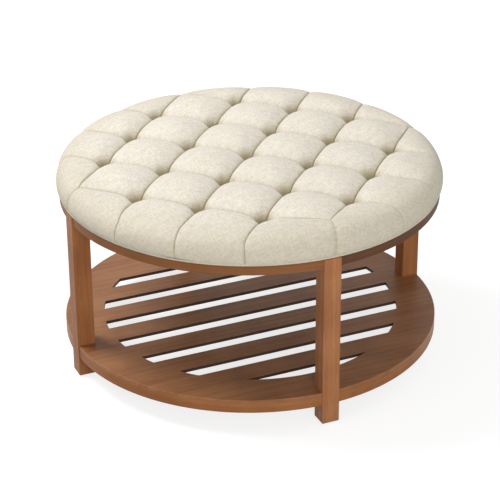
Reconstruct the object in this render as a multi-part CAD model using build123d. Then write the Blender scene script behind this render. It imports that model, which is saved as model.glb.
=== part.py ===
from build123d import *
from math import acos, asin, cos, degrees, hypot, pi, sin, sqrt
import os

# Round tufted ottoman coffee table with a slatted shelf.
# Millimetres, +Z up. The origin is on the floor under the middle of the table.
# The legs stand on the X and Y axes, and the slots of the shelf run along X.

# Legs, square posts that stand on nailed glides
leg_side = 38.0
leg_proud = 2.0
leg_edge_radius = 2.0
foot_chamfer = 2.5
glide_radius = 10.0
glide_thickness = 2.0
glide_nail_radius = 1.2
glide_nail_length = 16.0

# Apron ring under the cushion, in four curved rails
frame_radius = 402.0
apron_top = 376.0
apron_height = 19.6
apron_width = 18.0
apron_edge_radius = 1.2

# Slotted shelf board and the curved rails under its edge
shelf_top = 75.0
shelf_thickness = 7.0
shelf_edge_radius = 1.5
slot_width = 32.2
slot_pitch = 87.0
slots_each_side = 4
slot_circle_radius = 319.2
slot_edge_chamfer = 0.5
shelf_rail_height = 22.4
shelf_rail_width = 30.0

# Corner blocks that tie two rails and a leg together
apron_block_depth = 22.0
apron_block_half_length = 88.0
shelf_block_depth = 26.0
shelf_block_half_length = 80.0
glue_gap = 0.1

# Dowels between the rails' ends and the legs
dowel_radius = 4.0
dowel_depth_in_leg = 13.0
dowel_depth_in_rail = 17.0

# Hanger bolts through the blocks into the legs
bolt_radius = 3.0
bolt_depth_in_leg = 28.0
bolt_stick_out = 10.0
bolt_point_length = 5.0
washer_radius = 8.0
washer_thickness = 1.5
nut_flats = 10.0
nut_thickness = 5.0

# Screws up through the apron blocks into the deck
deck_screw_radius = 2.0
deck_screw_length = 30.0
deck_screw_head_radius = 4.0
deck_screw_from_leg = 8.0
deck_screw_beside_leg = 25.0

# Screws from the blocks into the rails
block_screw_radius = 2.0
block_screw_head_radius = 4.0
block_screw_depth_in_rail = 10.0
block_screw_from_end = 15.0
screw_point_length = 4.0

# Clearances
fit_clearance = 0.05
fabric_gap = 0.25
overrun = 12.0

# Cushion: outer skin, layers and deck
cushion_height = 65.0
cushion_radius = 407.5
cushion_widest_rise = 16.0
cushion_draw_in = 4.5
shoulder_radius = 45.0
cover_thickness = 2.0
wadding_thickness = 3.5
deck_thickness = 12.0
dust_cover_thickness = 0.5
dust_cover_setback = 14.0

# Tufts: square lattice turned 45 degrees to the pleats that join its points
tuft_pitch = 95.5
tuft_reach = 340.0
pit_depth = 34.0
pit_floor_radius = 10.0
pit_knee_radius = 17.0
pit_knee_rise = 13.0
pit_radius = 44.0
pit_rise = 35.0
pit_seam_turn = 20.0
groove_depth = 16.0
groove_run = 62.0
groove_rise = 17.5
groove_knee_run = 24.0
groove_knee_rise = 10.5
side_pleat_drop = 5.0
side_pleat_run = 36.0
side_pleat_rise = 5.5

# Covered buttons, their twines and the washers that hold the twines
button_radius = 8.0
button_rim = 2.0
button_height = 6.5
twine_radius = 0.8
twine_hole_radius = 1.3
deck_hole_radius = 2.5
tuft_washer_radius = 8.0
tuft_washer_thickness = 1.0
knot_radius = 2.2
knot_thickness = 0.9

# Staples through the dust cover and the hem
staple_count = 48
staple_crown = 10.0
staple_leg = 8.0
staple_wire = 0.6
staple_width = 1.2
staple_setback = 4.0
hem_past_staples = 8.0

# Levels, from the apron up
apron_bottom = apron_top - apron_height
apron_middle = apron_top - apron_height / 2
dust_cover_bottom = apron_top + fabric_gap
hem_bottom = dust_cover_bottom + dust_cover_thickness + fabric_gap
hem_top = hem_bottom + cover_thickness
deck_bottom = hem_top + fabric_gap
deck_top = deck_bottom + deck_thickness
foam_bottom = deck_top + fabric_gap
cushion_top = hem_bottom + cushion_height
cushion_widest = hem_bottom + cushion_widest_rise
pit_floor = cushion_top - pit_depth
shelf_bottom = shelf_top - shelf_thickness
shelf_rail_bottom = shelf_bottom - shelf_rail_height
shelf_rail_middle = shelf_bottom - shelf_rail_height / 2

# Places in plan
leg_face = frame_radius + leg_proud
leg_inner = leg_face - leg_side
leg_centre = leg_face - leg_side / 2
apron_inner = frame_radius - apron_width
shelf_rail_inner = frame_radius - shelf_rail_width
apron_block_inner = leg_inner - apron_block_depth
shelf_block_inner = leg_inner - shelf_block_depth
staple_ring = apron_block_inner - staple_setback
hem_inner = staple_ring - hem_past_staples
dust_cover_radius = frame_radius - dust_cover_setback
deck_screw_x = leg_inner - deck_screw_from_leg
deck_screw_y = leg_side / 2 + deck_screw_beside_leg

# Insets of the cushion's layers from its outer skin
wadding_outer_inset = cover_thickness + fabric_gap
wadding_inner_inset = wadding_outer_inset + wadding_thickness
foam_inset = wadding_inner_inset + fabric_gap

BASE = (Align.CENTER, Align.CENTER, Align.MIN)
CORNER = (Align.MIN, Align.MIN, Align.MIN)
INWARD = (Align.MIN, Align.CENTER, Align.MIN)
QUARTER = 90
LEG_ANGLES = {"right": 0, "back": 90, "left": 180, "front": 270}
RAIL_ANGLES = {"back_right": 0, "back_left": 90, "front_left": 180, "front_right": 270}

side_arc_radius = (cushion_widest_rise**2 + cushion_draw_in**2) / (2 * cushion_draw_in)
side_arc_centre = cushion_radius - side_arc_radius


def turned(shape, angle):
    """The shape turned about the table's middle."""
    return Rot(0, 0, angle) * shape


def each_quarter(shapes):
    """Every shape, once for each leg."""
    return [turned(shape, angle) for angle in LEG_ANGLES.values() for shape in shapes]


def along_x(radius, start, end, y, z):
    """A cylinder along X from start to end."""
    return Pos(start, y, z) * Rot(0, QUARTER, 0) * Cylinder(radius, end - start, align=BASE)


def along_y(radius, start, end, x, z):
    """A cylinder along Y from start to end."""
    return Pos(x, start, z) * Rot(-QUARTER, 0, 0) * Cylinder(radius, end - start, align=BASE)


def along_z(radius, start, end, x=0, y=0):
    """A cylinder along Z from start to end."""
    return Pos(x, y, start) * Cylinder(radius, end - start, align=BASE)


def arc(centre, radius, start, end):
    """An arc of under half a circle in the XY plane, between two angles in radians."""
    places = [
        (centre[0] + radius * cos(a), centre[1] + radius * sin(a))
        for a in (start, (start + end) / 2, end)
    ]
    return Edge.make_three_point_arc(*places)


def closed(edges, corners):
    """A face bounded by the edges and then straight lines through the corners back to the start."""
    points = [edges[-1] @ 1, *[Vector(*corner) for corner in corners], edges[0] @ 0]
    lines = [Edge.make_line(a, b) for a, b in zip(points, points[1:])]
    return Face(Wire([*edges, *lines]))


# Cushion form


def side_radius_at(level, inset):
    """The radius of the drawn-in lower side, a given inset within the skin."""
    return side_arc_centre + sqrt((side_arc_radius - inset) ** 2 - (cushion_widest - level) ** 2)


def plain_cushion(inset, floor):
    """The crowned round form without tufts: crown, shoulder and drawn-in side, cut flat at floor."""
    shoulder_centre = cushion_radius - shoulder_radius
    rise = cushion_top - cushion_widest
    crown_radius = (shoulder_centre**2 + rise**2 - shoulder_radius**2) / (2 * (rise - shoulder_radius))
    meet = pi / 2 - asin(shoulder_centre / (crown_radius - shoulder_radius))
    low = -asin((cushion_widest - floor) / (side_arc_radius - inset))
    edges = [
        arc((0, cushion_top - crown_radius), crown_radius - inset, pi / 2, meet),
        arc((shoulder_centre, cushion_widest), shoulder_radius - inset, meet, 0),
        arc((side_arc_centre, cushion_widest), side_arc_radius - inset, 0, low),
    ]
    return revolve(Plane.XZ * closed(edges, [(0, floor)]), Axis.Z)


def above(points, top):
    """A face over a profile of points, closed by a level line above it."""
    corners = [*points, (points[-1][0], top), (points[0][0], top)]
    return Face(Wire.make_polygon(corners, close=True))


def mirrored(half):
    """A profile and its mirror image, from a half that starts on the middle line."""
    return [(-x, y) for x, y in reversed(half[1:])] + half


def groove(inset, offset, angle):
    """A channel along one diagonal pleat: two pillow sides that meet in a crease at its bottom."""
    crease = cushion_top - groove_depth - inset
    half = [(0, crease), (groove_knee_run, crease + groove_knee_rise), (groove_run, crease + groove_rise)]
    section = Plane.XZ * above(mirrored(half), cushion_top + overrun)
    bar = extrude(section, cushion_radius + overrun, both=True)
    return turned(Pos(offset, 0, 0) * bar, angle)


def pit(inset, place, hole_radius):
    """The well of one tuft, with the twine's hole through its floor where a hole is asked for."""
    floor = pit_floor - inset
    wall = [
        (pit_floor_radius + inset, floor),
        (pit_knee_radius + inset, floor + pit_knee_rise),
        (pit_radius + inset, floor + pit_rise),
    ]
    bottom = [(0, hem_bottom), (hole_radius, hem_bottom), (hole_radius, floor)]
    profile = [*(bottom if hole_radius else [(0, floor)]), *wall]
    well = revolve(Plane.XZ * above(profile, cushion_top + overrun), Axis.Z)
    return Pos(*place) * turned(well, pit_seam_turn)


def side_pleat(inset, angle):
    """A crease up the side and over the shoulder, between two sloping panels."""
    crease = cushion_radius - side_pleat_drop - inset
    half = [(0, crease), (side_pleat_run, crease + side_pleat_rise)]
    section = Pos(0, 0, cushion_widest) * above(mirrored(half), cushion_radius + overrun)
    side = extrude(section, -(cushion_widest_rise + overrun))
    bend = Axis((0, cushion_radius - shoulder_radius, cushion_widest), (1, 0, 0))
    return turned(side + revolve(section, bend, QUARTER), angle - QUARTER)


def tuft_places():
    """The tufts' places: every second point of the lattice, out to the reach."""
    steps = range(-int(tuft_reach / tuft_pitch), int(tuft_reach / tuft_pitch) + 1)
    lattice = [(i * tuft_pitch, j * tuft_pitch) for i in steps for j in steps if (i + j) % 2 == 0]
    return [place for place in lattice if hypot(*place) < tuft_reach]


def pleat_angles():
    """The angles at which the pleats reach the side: on the axes, the diagonals and between."""
    between = degrees(acos(tuft_pitch * sqrt(2) / cushion_radius)) - QUARTER / 2
    first = (0, between, QUARTER / 2, QUARTER - between)
    return [turn + angle for turn in LEG_ANGLES.values() for angle in first]


def tufted_form(inset, floor, hole_radius=0):
    """The tufted cushion's form, a given inset within its skin."""
    form = plain_cushion(inset, floor)
    pleat_spacing = tuft_pitch * sqrt(2)
    for angle in (QUARTER / 2, -QUARTER / 2):
        form -= [groove(inset, step * pleat_spacing, angle) for step in (-2, -1, 0, 1, 2)]
    form -= [pit(inset, place, hole_radius) for place in tuft_places()]
    form -= [side_pleat(inset, angle) for angle in pleat_angles()]
    return form


# Staples, screws and bolts


def staple():
    """One staple, its crown along Y under the dust cover."""
    tall = staple_leg + staple_wire
    outer = Box(staple_width, staple_crown, tall, align=BASE)
    gap = Box(staple_width + overrun, staple_crown - 2 * staple_wire, staple_leg, align=BASE)
    return Pos(staple_ring, 0, dust_cover_bottom - staple_wire) * (outer - Pos(0, 0, staple_wire) * gap)


def staple_holes(top):
    """The slits that one staple's legs make, up to a level."""
    slit = Box(
        staple_width + 2 * fit_clearance,
        staple_wire + 2 * fit_clearance,
        top - apron_top,
        align=BASE,
    )
    reach = (staple_crown - staple_wire) / 2
    return [Pos(staple_ring, side * reach, apron_top) * slit for side in (-1, 1)]


def around(shapes, count):
    """Each shape, evenly spaced round the table."""
    return [turned(shape, step * 4 * QUARTER / count) for step in range(count) for shape in shapes]


def wood_screw(radius, head_radius, length):
    """A countersunk screw along +X, its head's face at the origin."""
    head = head_radius - radius
    points = [(0, 0), (0, head_radius), (head, radius), (length - screw_point_length, radius), (length, 0)]
    return revolve(Face(Wire.make_polygon(points, close=True)), Axis.X)


def screw_hole(radius, head_radius, length):
    """The hole that a countersunk screw fits, along +X from its mouth."""
    clear_head = head_radius + fit_clearance
    clear = radius + fit_clearance
    head = clear_head - clear
    points = [
        (-overrun, 0),
        (-overrun, clear_head),
        (0, clear_head),
        (head, clear),
        (length, clear),
        (length, 0),
    ]
    return revolve(Face(Wire.make_polygon(points, close=True)), Axis.X)


def deck_screw_places():
    """The two deck screws of the right-hand corner block."""
    return [Pos(deck_screw_x, side * deck_screw_y, apron_bottom) * Rot(0, -QUARTER, 0) for side in (-1, 1)]


def block_screw_places(inner, half_length, level):
    """The two rail screws of one right-hand corner block."""
    offset = half_length - block_screw_from_end
    return [Pos(inner, side * offset, level) for side in (-1, 1)]


def block_screw_length(inner, half_length, rail_inner):
    """The rail screws' length, from the block's inner face into the rail."""
    offset = half_length - block_screw_from_end
    return sqrt(rail_inner**2 - offset**2) - inner + block_screw_depth_in_rail


def bolt_levels():
    """The inner face and level of each hanger bolt on the right-hand leg."""
    return [(apron_block_inner, apron_middle), (shelf_block_inner, shelf_rail_middle)]


def hanger_bolt(inner, level):
    """One bolt, from its free end by the nut to its point in the leg."""
    end = leg_inner + bolt_depth_in_leg
    shank = along_x(bolt_radius, inner - bolt_stick_out, end - bolt_point_length, 0, level)
    point = Pos(end - bolt_point_length, 0, level) * Rot(0, QUARTER, 0)
    return shank + point * Cone(bolt_radius, bolt_radius / 2, bolt_point_length, align=BASE)


def bolt_washer(inner, level):
    """The washer against the block's inner face."""
    ring = along_x(washer_radius, inner - washer_thickness, inner, 0, level)
    return ring - along_x(bolt_radius + fit_clearance, inner - overrun, inner + overrun, 0, level)


def bolt_nut(inner, level):
    """The hexagon nut on the washer."""
    face = inner - washer_thickness
    prism = extrude(RegularPolygon(nut_flats / 2, 6, major_radius=False), nut_thickness)
    placed = Pos(face - nut_thickness, 0, level) * Rot(0, QUARTER, 0) * prism
    return placed - along_x(bolt_radius + fit_clearance, inner - bolt_stick_out, inner, 0, level)


# Frame


def dowel_places():
    """The middle radius and level of the dowels in each ring of rails."""
    apron = ((frame_radius + apron_inner) / 2, apron_middle)
    shelf = ((frame_radius + shelf_rail_inner) / 2, shelf_rail_middle)
    return [apron, shelf]


def leg_dowels(clearance):
    """The dowels on both sides of the right-hand leg, or their holes with a clearance."""
    shapes = []
    for place, level in dowel_places():
        inner_end = leg_side / 2 - dowel_depth_in_leg - clearance
        outer_end = leg_side / 2 + dowel_depth_in_rail + clearance
        for start, end in ((inner_end, outer_end), (-outer_end, -inner_end)):
            shapes.append(along_y(dowel_radius + clearance, start, end, place, level))
    return shapes


def leg():
    """The right-hand leg, with its holes for bolts, dowels and the glide's nail."""
    post = Box(leg_side, leg_side, apron_top - glide_thickness, align=BASE)
    post = chamfer(post.faces().sort_by(Axis.Z)[0].edges(), foot_chamfer)
    post = fillet(post.edges().filter_by(Axis.Z), leg_edge_radius)
    post = Pos(leg_centre, 0, glide_thickness) * post
    for _, level in bolt_levels():
        end = leg_inner + bolt_depth_in_leg + fit_clearance
        post -= along_x(bolt_radius + fit_clearance, leg_inner - overrun, end, 0, level)
    post -= leg_dowels(fit_clearance)
    return post - along_z(
        glide_nail_radius + fit_clearance,
        0,
        glide_thickness + glide_nail_length + fit_clearance,
        leg_centre,
    )


def glide():
    """The right-hand leg's glide, a disc with a nail."""
    disc = along_z(glide_radius, 0, glide_thickness, leg_centre)
    return disc + along_z(glide_nail_radius, 0, glide_thickness + glide_nail_length, leg_centre)


def quarter_rail(inner, bottom, height):
    """A curved rail between the right-hand leg and the back one, butted against both."""
    ring = along_z(frame_radius, bottom, bottom + height) - along_z(inner, bottom, bottom + height)
    corner = Pos(leg_side / 2, leg_side / 2, bottom)
    return ring & corner * Box(frame_radius, frame_radius, height, align=CORNER)


def outer_edges(shape, level):
    """The long arcs at the frame's radius and at one level."""
    arcs = shape.edges().filter_by(GeomType.CIRCLE)
    arcs = arcs.filter_by(lambda arc: abs(arc.radius - frame_radius) < glue_gap)
    return arcs.filter_by(lambda arc: abs(arc.center().Z - level) < glue_gap)


def rail_holes(shape, inner, half_length, rail_inner, level):
    """The rail with the holes for its dowels and for the screws of the blocks at its two ends."""
    shape -= leg_dowels(fit_clearance)
    shape -= [turned(hole, QUARTER) for hole in leg_dowels(fit_clearance)]
    length = block_screw_length(inner, half_length, rail_inner) + fit_clearance
    hole = screw_hole(block_screw_radius, block_screw_head_radius, length)
    holes = [place * hole for place in block_screw_places(inner, half_length, level)]
    return shape - holes - [turned(hole, QUARTER) for hole in holes]


def apron_rail():
    """The apron rail between the right-hand leg and the back one."""
    rail = quarter_rail(apron_inner, apron_bottom, apron_height)
    edges = outer_edges(rail, apron_bottom) + outer_edges(rail, apron_top)
    rail = fillet(edges, apron_edge_radius)
    return rail_holes(rail, apron_block_inner, apron_block_half_length, apron_inner, apron_middle)


def shelf_rail():
    """The rail under the shelf's edge between the right-hand leg and the back one."""
    rail = quarter_rail(shelf_rail_inner, shelf_rail_bottom, shelf_rail_height)
    rail = fillet(outer_edges(rail, shelf_rail_bottom), shelf_edge_radius)
    return rail_holes(rail, shelf_block_inner, shelf_block_half_length, shelf_rail_inner, shelf_rail_middle)


def corner_block(inner, half_length, rail_inner, bottom, height):
    """A block behind the right-hand leg, curved to the two rails and notched round the leg."""
    reach = rail_inner - glue_gap
    block = along_z(reach, bottom, bottom + height)
    block &= Pos(inner, 0, bottom) * Box(reach, 2 * half_length, height, align=INWARD)
    block -= Pos(leg_inner, 0, bottom) * Box(leg_side, leg_side, height, align=INWARD)
    level = bottom + height / 2
    block -= along_x(bolt_radius + fit_clearance, inner - overrun, leg_face, 0, level)
    length = block_screw_length(inner, half_length, rail_inner) + fit_clearance
    hole = screw_hole(block_screw_radius, block_screw_head_radius, length)
    return block - [place * hole for place in block_screw_places(inner, half_length, level)]


def deck_screw_holes():
    """The holes of the right-hand block's deck screws."""
    hole = screw_hole(deck_screw_radius, deck_screw_head_radius, deck_screw_length + fit_clearance)
    return [place * hole for place in deck_screw_places()]


def apron_block():
    """The right-hand corner block of the apron."""
    block = corner_block(
        apron_block_inner, apron_block_half_length, apron_inner, apron_bottom, apron_height
    )
    return block - deck_screw_holes()


def shelf_block():
    """The right-hand corner block under the shelf."""
    return corner_block(
        shelf_block_inner, shelf_block_half_length, shelf_rail_inner, shelf_rail_bottom, shelf_rail_height
    )


def shelf_board():
    """The round board: notched for the legs, with slots that end on one circle."""
    board = along_z(frame_radius, shelf_bottom, shelf_top)
    notch = Pos(leg_inner, 0, shelf_bottom) * Box(leg_side, leg_side, shelf_thickness, align=INWARD)
    board -= each_quarter([notch])
    board = fillet(outer_edges(board, shelf_top), shelf_edge_radius)
    disc = along_z(slot_circle_radius, shelf_bottom, shelf_top)
    slot = Box(2 * slot_circle_radius, slot_width, shelf_thickness, align=BASE)
    for row in range(slots_each_side):
        place = (row + 1 / 2) * slot_pitch
        board -= [Pos(0, side * place, shelf_bottom) * slot & disc for side in (-1, 1)]
    within = slot_circle_radius + glue_gap
    rims = board.faces().sort_by(Axis.Z)[-1].inner_wires()
    edges = [edge for rim in rims for edge in rim.edges() if hypot(*tuple(edge.center())[:2]) < within]
    return chamfer(edges, slot_edge_chamfer)


# Cushion pieces


def seat_deck():
    """The plywood disc, with holes for the twines, the staples and the deck screws."""
    drawn_in = side_radius_at(deck_bottom, wadding_inner_inset)
    creased = cushion_radius - side_pleat_drop - wadding_inner_inset
    deck = along_z(min(drawn_in, creased) - fabric_gap, deck_bottom, deck_top)
    deck -= [along_z(deck_hole_radius, deck_bottom, deck_top, *place) for place in tuft_places()]
    deck -= each_quarter(deck_screw_holes())
    return deck - around(staple_holes(dust_cover_bottom + staple_leg + fit_clearance), staple_count)


def tufted_cover():
    """The fabric: a skin over the whole form that turns in under the deck as a hem."""
    cover = tufted_form(0, hem_bottom, twine_hole_radius)
    cover -= tufted_form(cover_thickness, hem_top)
    cover -= along_z(hem_inner, hem_bottom, hem_top)
    cover -= each_quarter(deck_screw_holes())
    return cover - around(staple_holes(hem_top + fabric_gap), staple_count)


def wadding():
    """The fibre layer between the cover and the foam, down over the deck's edge."""
    outer = tufted_form(wadding_outer_inset, deck_bottom, twine_hole_radius)
    return outer - tufted_form(wadding_inner_inset, deck_bottom)


def foam_pad():
    """The foam on the deck, drawn down at each tuft."""
    return tufted_form(foam_inset, foam_bottom, twine_hole_radius)


def dust_cover():
    """The thin cloth that closes the deck's underside."""
    cloth = along_z(dust_cover_radius, dust_cover_bottom, dust_cover_bottom + dust_cover_thickness)
    cloth -= each_quarter(deck_screw_holes())
    return cloth - around(staple_holes(deck_bottom), staple_count)


def button(place):
    """A covered button on the floor of a tuft."""
    dome = button_height - button_rim
    radius = (button_radius**2 + dome**2) / (2 * dome)
    top = arc((0, button_height - radius), radius, pi / 2, pi / 2 - asin(button_radius / radius))
    section = closed([top], [(button_radius, 0), (0, 0)])
    return Pos(*place, pit_floor + fabric_gap) * revolve(Plane.XZ * section, Axis.Z)


def tuft_washer(place):
    """The washer under the deck at one tuft."""
    low = deck_bottom - tuft_washer_thickness
    return along_z(tuft_washer_radius, low, deck_bottom, *place) - along_z(
        twine_radius + fit_clearance, low, deck_bottom, *place
    )


def tuft_twine(place):
    """The twine from the button down to its knot under the washer."""
    knot_top = deck_bottom - tuft_washer_thickness
    line = along_z(twine_radius, knot_top, pit_floor + fabric_gap, *place)
    return line + along_z(knot_radius, knot_top - knot_thickness, knot_top, *place)


def block_screws(inner, half_length, rail_inner, level):
    """The rail screws of one right-hand block."""
    length = block_screw_length(inner, half_length, rail_inner)
    screw = wood_screw(block_screw_radius, block_screw_head_radius, length)
    return [place * screw for place in block_screw_places(inner, half_length, level)]


def group(shapes):
    """Separate solids that share one node."""
    return Compound([solid for shape in shapes for solid in shape.solids()])


def build():
    """Every node of the table by name."""
    nodes = {}
    makers = {"leg": leg, "apron_corner_block": apron_block, "shelf_corner_block": shelf_block}
    for name, maker in makers.items():
        shape = maker()
        for side, angle in LEG_ANGLES.items():
            nodes[f"{name}_{side}"] = turned(shape, angle)
    for name, maker in {"apron_rail": apron_rail, "shelf_rail": shelf_rail}.items():
        shape = maker()
        for side, angle in RAIL_ANGLES.items():
            nodes[f"{name}_{side}"] = turned(shape, angle)
    nodes["shelf_board"] = shelf_board()
    nodes["foot_glides"] = group(each_quarter([glide()]))
    nodes["rail_dowels"] = group(each_quarter(leg_dowels(0)))
    nodes["hanger_bolts"] = group(each_quarter([hanger_bolt(*place) for place in bolt_levels()]))
    nodes["bolt_washers"] = group(each_quarter([bolt_washer(*place) for place in bolt_levels()]))
    nodes["bolt_nuts"] = group(each_quarter([bolt_nut(*place) for place in bolt_levels()]))
    screw = wood_screw(deck_screw_radius, deck_screw_head_radius, deck_screw_length)
    nodes["deck_screws"] = group(each_quarter([place * screw for place in deck_screw_places()]))
    nodes["apron_block_screws"] = group(
        each_quarter(block_screws(apron_block_inner, apron_block_half_length, apron_inner, apron_middle))
    )
    nodes["shelf_block_screws"] = group(
        each_quarter(
            block_screws(shelf_block_inner, shelf_block_half_length, shelf_rail_inner, shelf_rail_middle)
        )
    )
    nodes["seat_deck"] = seat_deck()
    nodes["dust_cover"] = dust_cover()
    nodes["hem_staples"] = group(around([staple()], staple_count))
    nodes["foam_pad"] = foam_pad()
    nodes["wadding"] = wadding()
    nodes["tufted_cover"] = tufted_cover()
    nodes["tuft_buttons"] = group([button(place) for place in tuft_places()])
    nodes["tuft_washers"] = group([tuft_washer(place) for place in tuft_places()])
    nodes["tuft_twines"] = group([tuft_twine(place) for place in tuft_places()])
    return nodes


os.makedirs("parts", exist_ok=True)
for node, shape in build().items():
    export_step(shape, f"parts/{node}.step")
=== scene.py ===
"""The looks of a round tufted ottoman coffee table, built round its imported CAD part.

Lengths in the classes are millimetres, as in the part's source, and become metres in the meshes. The lamps'
and the floor's sizes are metres, and the scale of a noise is its cells in a metre.
"""

import logging
import math
from dataclasses import KW_ONLY, dataclass
from enum import Enum

import bpy
import numpy as np
from mathutils import Matrix, Vector


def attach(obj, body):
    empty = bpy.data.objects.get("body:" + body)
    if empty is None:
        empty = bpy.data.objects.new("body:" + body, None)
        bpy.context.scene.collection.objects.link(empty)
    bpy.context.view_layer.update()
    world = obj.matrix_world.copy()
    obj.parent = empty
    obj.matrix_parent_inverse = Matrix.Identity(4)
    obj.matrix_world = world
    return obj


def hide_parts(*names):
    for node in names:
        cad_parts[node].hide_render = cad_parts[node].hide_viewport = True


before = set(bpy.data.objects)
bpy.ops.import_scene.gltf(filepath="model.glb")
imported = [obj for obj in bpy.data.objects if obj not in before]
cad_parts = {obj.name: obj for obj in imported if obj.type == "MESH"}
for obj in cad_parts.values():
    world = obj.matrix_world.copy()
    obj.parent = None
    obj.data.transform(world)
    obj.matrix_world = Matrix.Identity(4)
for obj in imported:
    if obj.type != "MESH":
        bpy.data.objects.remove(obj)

MM = 0.001
HALF_TURN = math.pi
QUARTER_TURN = math.pi / 2.0
DIAGONAL = math.sqrt(2.0)
TUFT_PITCH = 95.5
log = logging.getLogger("ottoman_table")

Colour = tuple[float, float, float]
Span = tuple[float, float]
Scales = tuple[float, float, float]
Array = np.ndarray
Piece = bpy.types.Object
Socket = bpy.types.NodeSocket


# Shader building


class Value:
    """A shader socket that adds, subtracts, multiplies and divides like a number."""

    def __init__(self, shader: "Shader", socket: Socket) -> None:
        """Wraps one output socket of a shader's node."""
        self.shader = shader
        self.socket = socket

    def _math(self, operation: str, first: "Value | float", second: "Value | float" = 0.0) -> "Value":
        """Adds a Math node on two values."""
        node = self.shader.node("ShaderNodeMath", {"operation": operation}, {0: first, 1: second})
        return Value(self.shader, node.outputs[0])

    def __add__(self, other: "Value | float") -> "Value":
        """This value plus another."""
        return self._math("ADD", self, other)

    __radd__ = __add__

    def __sub__(self, other: "Value | float") -> "Value":
        """This value less another."""
        return self._math("SUBTRACT", self, other)

    def __rsub__(self, other: "Value | float") -> "Value":
        """Another value less this one."""
        return self._math("SUBTRACT", other, self)

    def __mul__(self, other: "Value | float") -> "Value":
        """This value times another."""
        return self._math("MULTIPLY", self, other)

    __rmul__ = __mul__

    def __truediv__(self, other: "Value | float") -> "Value":
        """This value over another."""
        return self._math("DIVIDE", self, other)

    def __pow__(self, other: "Value | float") -> "Value":
        """This value to a power."""
        return self._math("POWER", self, other)

    def above(self, other: "Value | float") -> "Value":
        """One where this value is the greater."""
        return self._math("GREATER_THAN", self, other)

    def sine(self) -> "Value":
        """The sine of this value."""
        return self._math("SINE", self)

    def magnitude(self) -> "Value":
        """This value without its sign."""
        return self._math("ABSOLUTE", self)

    def angle_from(self, other: "Value | float") -> "Value":
        """The angle whose tangent is this value over another."""
        return self._math("ARCTAN2", self, other)

    def ramp(self, low: float, high: float, start: float = 0.0, end: float = 1.0) -> "Value":
        """This value, taken from low..high to start..end and held there."""
        inputs = {0: self, 1: low, 2: high, 3: start, 4: end}
        return Value(self.shader, self.shader.node("ShaderNodeMapRange", {"clamp": True}, inputs).outputs[0])


class Shader:
    """A material or world under construction, with one method for its nodes."""

    def __init__(self, tree: bpy.types.NodeTree) -> None:
        """Starts on an empty node tree."""
        self.tree = tree
        tree.nodes.clear()

    def node(self, kind: str, settings: dict | None = None, inputs: dict | None = None) -> bpy.types.Node:
        """Adds one node.

        Args:
            kind: The node's type.
            settings: Its properties, which are set first.
            inputs: A value, socket or wrapped value for each input, by name or number.

        Returns:
            The new node.
        """
        node = self.tree.nodes.new(kind)
        for name, setting in (settings or {}).items():
            setattr(node, name, setting)
        for key, value in (inputs or {}).items():
            if isinstance(value, Value):
                value = value.socket
            if isinstance(value, Socket):
                self.tree.links.new(value, node.inputs[key])
            else:
                node.inputs[key].default_value = value
        return node

    def place(self, source: str = "Object") -> Socket:
        """The texture coordinate of one kind."""
        return self.node("ShaderNodeTexCoord").outputs[source]

    def axes(self, vector: Socket) -> list[Value]:
        """The three parts of a vector."""
        node = self.node("ShaderNodeSeparateXYZ", None, {0: vector})
        return [Value(self, output) for output in node.outputs]

    def vector(self, x: Value | float, y: Value | float, z: Value | float = 0.0) -> Socket:
        """A vector from three values."""
        return self.node("ShaderNodeCombineXYZ", None, {0: x, 1: y, 2: z}).outputs[0]

    def noise(self, vector: Socket, scale: float, detail: float = 2.0, rough: float = 0.5) -> Value:
        """Noise over a vector, from 0 to 1."""
        inputs = {"Vector": vector, "Scale": scale, "Detail": detail, "Roughness": rough}
        return Value(self, self.node("ShaderNodeTexNoise", None, inputs).outputs[0])

    def blend(self, amount: Value | float, first: Socket | Colour, second: Socket | Colour) -> Socket:
        """Mixes two colours.

        Args:
            amount: The second colour's share.
            first: The colour at 0.
            second: The colour at 1.

        Returns:
            The mixed colour's socket.
        """
        low, high = (shade if isinstance(shade, Socket) else (*shade, 1.0) for shade in (first, second))
        # A Mix node takes its two colours at its inputs 6 and 7
        node = self.node("ShaderNodeMix", {"data_type": "RGBA"}, {0: amount, 6: low, 7: high})
        return node.outputs[2]

    def bump(self, height: Value, distance: float, strength: float) -> Socket:
        """A bumped normal from a height between 0 and 1 and its depth in millimetres."""
        inputs = {"Height": height, "Distance": distance * MM, "Strength": strength}
        return self.node("ShaderNodeBump", None, inputs).outputs[0]

    def seen(self, *rays: str) -> Value:
        """Tells some kinds of ray from the others.

        Args:
            rays: The kinds' names.

        Returns:
            1 for these rays and 0 for the others.
        """
        path = self.node("ShaderNodeLightPath").outputs
        total, *others = (Value(self, path[f"Is {ray} Ray"]) for ray in rays)
        for other in others:
            total = total + other
        return total.ramp(0.0, 1.0)


def dimmed(colour: Colour, share: float) -> Colour:
    """A share of a colour."""
    return tuple(share * part for part in colour)


MATERIALS: dict[str, bpy.types.Material] = {}


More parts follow.
